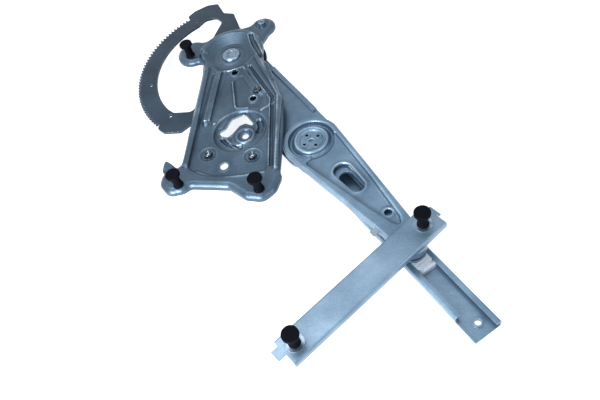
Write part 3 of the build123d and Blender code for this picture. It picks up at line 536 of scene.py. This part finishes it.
def straighten_left_side(piece):
    """Fill out the guide half on the side that shows at the left, straight from the hub to the clip."""
    heading = math.radians(ARM_DIRECTION)
    forward = np.array((math.cos(heading), math.sin(heading)))
    across = np.array((-math.sin(heading), math.cos(heading)))
    points = vertex_places(piece.data)
    plan = points[:, :2] / MM - CROSS
    run = plan @ forward
    side = plan @ across
    web_line = np.interp(run, *WEB_LINE)
    rim_line = np.interp(run, *RIM_LINE)
    web_growth = np.interp(run, LEFT_STATIONS, WEB_GROWTH)
    rim_growth = np.interp(run, LEFT_STATIONS, RIM_GROWTH)
    outward = ease((web_line - side) / np.maximum(web_line - rim_line, LEAST_RIM), *OUTWARD_BAND)
    reach = web_growth * (1 - outward) + rim_growth * outward
    reach *= ease(web_line - side, *WEB_BAND) * ease(np.hypot(run, side), *HUB_BAND)
    points[:, :2] -= (reach[:, None] * across) * MM
    move_vertices(piece.data, points)


def join_rings(shape, first, second):
    """A band of faces between two rings of vertices."""
    for here in range(len(first)):
        after = (here + 1) % len(first)
        shape.faces.new((first[here], first[after], second[after], second[here]))


def mesh_of(shape, name):
    """A mesh from a bmesh shape, which is then let go."""
    mesh = bpy.data.meshes.new(name)
    shape.to_mesh(mesh)
    shape.free()
    return mesh


def pierced_main_arm():
    """The main arm with the opening that shows below the guide half's slot."""
    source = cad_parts["main_arm"]
    piece = new_object("pierced_main_arm", source.data.copy())
    shape = bmesh.new()
    rim = []
    for step in range(RING_STEPS):
        turn = 2 * math.pi * step / RING_STEPS
        end = SLOT_FAR if math.cos(turn) > 0 else SLOT_NEAR
        rim.append(along_arm(end + SLOT_RADIUS * math.cos(turn), SLOT_SIDE + SLOT_RADIUS * math.sin(turn)))
    low = [shape.verts.new((x * MM, y * MM, SLOT_BOTTOM * MM)) for x, y in rim]
    high = [shape.verts.new((x * MM, y * MM, SLOT_TOP * MM)) for x, y in rim]
    shape.faces.new(low[::-1])
    shape.faces.new(high)
    join_rings(shape, low, high)
    punch = new_object("slot_punch", mesh_of(shape, "slot_punch"))
    cut = piece.modifiers.new("slot", "BOOLEAN")
    cut.object = punch
    result = shaped_mesh(piece)
    piece.modifiers.clear()
    piece.data = result
    bpy.data.objects.remove(punch)
    result.materials.clear()
    result.materials.append(arm_zinc)
    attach(piece, "main_arm_body")
    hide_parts("main_arm")


def lathe_nuts(node_name, body, places, material):
    """Weld nuts with a chamfered and threaded bore; the thread is drawn coarse, so that it shows."""
    profile = list(NUT_OUTSIDE)
    height = THREAD_TOP
    while height > THREAD_PITCH:
        profile.append((THREAD_CREST, height - CREST_DOWN * THREAD_PITCH))
        profile.append((THREAD_ROOT, height - FOOT_DOWN * THREAD_PITCH))
        height -= THREAD_PITCH
    turns = [2 * math.pi * step / LATHE_STEPS for step in range(LATHE_STEPS)]
    shape = bmesh.new()
    for x, y, floor in places:
        rings = [[shape.verts.new(((x + radius * math.cos(t)) * MM, (y + radius * math.sin(t)) * MM,
                                   (floor + rise) * MM)) for t in turns] for radius, rise in profile]
        for inner, outer in zip(rings, rings[1:] + rings[:1]):
            join_rings(shape, inner, outer)
    bmesh.ops.recalc_face_normals(shape, faces=shape.faces)
    mesh = mesh_of(shape, "threaded_" + node_name)
    mesh.materials.append(material)
    piece = new_object("threaded_" + node_name, mesh)
    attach(piece, body)
    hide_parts(node_name)


def seen_or_mirrored(tree):
    """1 on the rays of the camera, of gloss and of clear pieces, and 0 on those that light the part."""
    path = add_node(tree, "ShaderNodeLightPath")
    seen = add_node(tree, "ShaderNodeMath", {
        0: path.outputs["Is Camera Ray"], 1: path.outputs["Is Glossy Ray"],
    }, operation="MAXIMUM").outputs[0]
    return add_node(tree, "ShaderNodeMath", {
        0: seen, 1: path.outputs["Is Transmission Ray"],
    }, operation="MAXIMUM").outputs[0]


def make_stage():
    """Pale floor under the part, white to the camera but keeping the part's shadow.

    It has one side: from below it's clear, so that the part's underside shows.
    """
    bpy.ops.mesh.primitive_plane_add(size=FLOOR_WIDTH, location=(0, 0, FLOOR_HEIGHT))
    floor = bpy.context.object
    floor.name = "studio_floor"
    # White paper: even and matt, so the eye gets no gloss from it, only the part's soft shadow.
    material, tree = new_material("white_paper_backdrop")
    seen = seen_or_mirrored(tree)
    lift = add_node(tree, "ShaderNodeMath", {0: seen, 1: FLOOR_GLOW}, operation="MULTIPLY").outputs[0]
    paper = add_node(tree, "ShaderNodeBsdfDiffuse", {"Color": linear(FLOOR_PAPER)})
    glow = add_node(tree, "ShaderNodeEmission", {"Color": linear(WHITE), "Strength": lift})
    lit = add_node(tree, "ShaderNodeAddShader", {0: paper.outputs[0], 1: glow.outputs[0]})
    clear = add_node(tree, "ShaderNodeBsdfTransparent")
    below = add_node(tree, "ShaderNodeNewGeometry").outputs["Backfacing"]
    finish_material(tree, add_node(tree, "ShaderNodeMixShader", {
        0: below, 1: lit.outputs[0], 2: clear.outputs[0],
    }))
    floor.data.materials.append(material)


def make_world():
    """Even white studio walls, seen white and giving a plain soft fill."""
    world = bpy.data.worlds.new("studio")
    bpy.context.scene.world = world
    world.use_nodes = True
    tree = world.node_tree
    tree.nodes.clear()
    strength = add_node(tree, "ShaderNodeMapRange", {
        "Value": seen_or_mirrored(tree), "To Min": WALL_FILL, "To Max": WALL_WHITE,
    }).outputs[0]
    sky = add_node(tree, "ShaderNodeBackground", {"Color": linear(WHITE), "Strength": strength})
    add_node(tree, "ShaderNodeOutputWorld", {"Surface": sky.outputs[0]})


def add_lamp(name, place, size, power):
    """A soft square lamp that faces the middle of the part."""
    data = bpy.data.lights.new(name, "AREA")
    data.size = size
    data.energy = power
    lamp = new_object(name, data)
    lamp.location = place
    lamp.visible_camera = False
    middle = Vector(((cad_box[0][0] + cad_box[1][0]) / 2, (cad_box[0][1] + cad_box[1][1]) / 2, 0))
    lamp.rotation_euler = (middle - lamp.location).to_track_quat("-Z", "Y").to_euler()


def make_camera():
    """Camera at the photograph's place and angle, solved from the sector, arms and rails."""
    data = bpy.data.cameras.new("photo_camera")
    data.sensor_width = CAMERA_SENSOR
    data.lens = CAMERA_LENS
    camera = new_object("photo_camera", data)
    back = CAMERA_RIGHT.cross(CAMERA_TOP).normalized()
    turn = Matrix((CAMERA_RIGHT, CAMERA_TOP, back)).transposed()
    camera.matrix_world = Matrix.Translation(CAMERA_PLACE) @ turn.to_4x4()
    bpy.context.scene.camera = camera


# Strokes of the press, in mm: the path, its half width and its rise.
BASE_STROKES = [
    # Ridges above the hub.
    ([(-38.6, 83.9), (-29.8, 59.9), (-23.2, 42.0)], 1.5, 1.7),
    ([(-21.0, 40.0), (-7.1, 41.0)], 1.4, 1.2),
    ([(11.3, 37.6), (16.9, 42.0), (23.5, 48.5)], 1.8, 1.8),
    # Two round bosses left of the hub.
    ([(-52.8, 13.0)], 3.0, 1.8),
    ([(-42.4, 14.0)], 2.2, 1.4),
    # Grooves round the hub, at its lower left and its right.
    ([(-27.8, -6.5), (-19.1, -12.9), (-7.9, -17.3), (-1.7, -16.4)], 2.3, -3.0),
    ([(12.0, 23.0), (15.5, 16.0), (15.5, 8.0)], 3.6, -3.2),
    # Sunk pads round the lower motor nuts and on the upper ear.
    ([(-36.1, -32.2)], 9.6, -0.8),
    ([(17.9, -31.6)], 9.6, -0.8),
    ([(-25.8, 191.9)], 9.5, -1.4),
    # Ridge along the foot.
    ([(-42.3, -58.0), (-20.0, -64.5), (10.0, -62.0), (38.0, -55.0)], 1.3, 0.9),
    # Long groove from the upper ear down, and a short one beside it.
    ([(-34.4, 167.0), (-29.5, 156.0), (-22.4, 145.7), (-12.8, 131.0), (-3.8, 117.9), (5.6, 102.6)],
     2.8, -3.4),
    ([(-29.7, 114.5), (-18.7, 97.9)], 1.8, -1.6),
    # Ridge on the upper peg's lobe.
    ([(-97.0, 139.5), (-88.0, 134.5)], 2.4, 1.2),
]
# A groove round the guide half's hub, and a raised ring inside it.
GUIDE_STROKES = [(ring(CROSS, 24.2), 2.0, -1.6), (ring(CROSS, 18.6), 1.6, 1.4)]

drawn_pressing("base_plate", "base", base_zinc, level=6.0, deepen=0.45, passes=6, shoulder=2.2,
               kept=[(-36.1, -32.2, 6), (17.9, -31.6, 6), (-2.8, 71.3, 6), (-54.3, 133.8, 13)],
               strokes=BASE_STROKES)
guide_pressing = drawn_pressing("guide_arm", "cross_arm_body", drawn_arm_zinc, level=-3.5, deepen=0.4,
                                passes=5, kept=[(*CROSS, 14)], strokes=GUIDE_STROKES)
straighten_left_side(guide_pressing)
pierced_main_arm()
lathe_nuts("motor_nuts", "base", MOTOR_NUTS, nut_steel)

make_stage()
make_world()
for lamp_name, lamp_place, lamp_width, lamp_power in LAMPS:
    add_lamp(lamp_name, lamp_place, lamp_width, lamp_power)
make_camera()
bpy.context.scene.view_settings.view_transform = "Standard"
